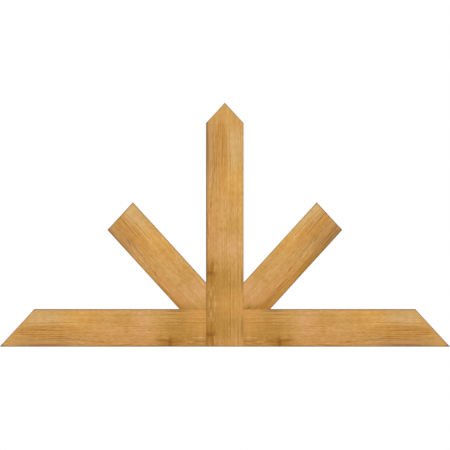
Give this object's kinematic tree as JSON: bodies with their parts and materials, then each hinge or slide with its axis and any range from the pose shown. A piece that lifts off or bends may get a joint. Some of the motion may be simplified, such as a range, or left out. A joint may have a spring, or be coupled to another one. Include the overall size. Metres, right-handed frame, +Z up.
{
  "type": "decorative gable truss",
  "caption": "Flat timber gable truss: a pointed king post, a slant-ended tie and raking struts, all cut to the roof slope to sit under the rake boards of a gable.",
  "frame": {"origin": "middle of the span and of the depth, on the level underside of the tie and the king post", "axes": "+X along the tie, +Y from the front face to the back, +Z up"},
  "size_m": [1.0668, 0.0888, 0.5778],
  "materials": {
    "honey_timber": "matte",
    "beech_dowel": "matte"
  },
  "bodies": {
    "root": {"king_post": "honey_timber", "tie_left": "honey_timber", "tie_right": "honey_timber", "strut_left": "honey_timber", "strut_right": "honey_timber", "tie_dowel_front_lower": "beech_dowel", "tie_dowel_front_upper": "beech_dowel", "tie_dowel_back_lower": "beech_dowel", "tie_dowel_back_upper": "beech_dowel", "strut_dowel_front": "beech_dowel", "strut_dowel_back": "beech_dowel", "foot_dowel_left": "beech_dowel", "foot_dowel_right": "beech_dowel"}
  },
  "joints": []
}
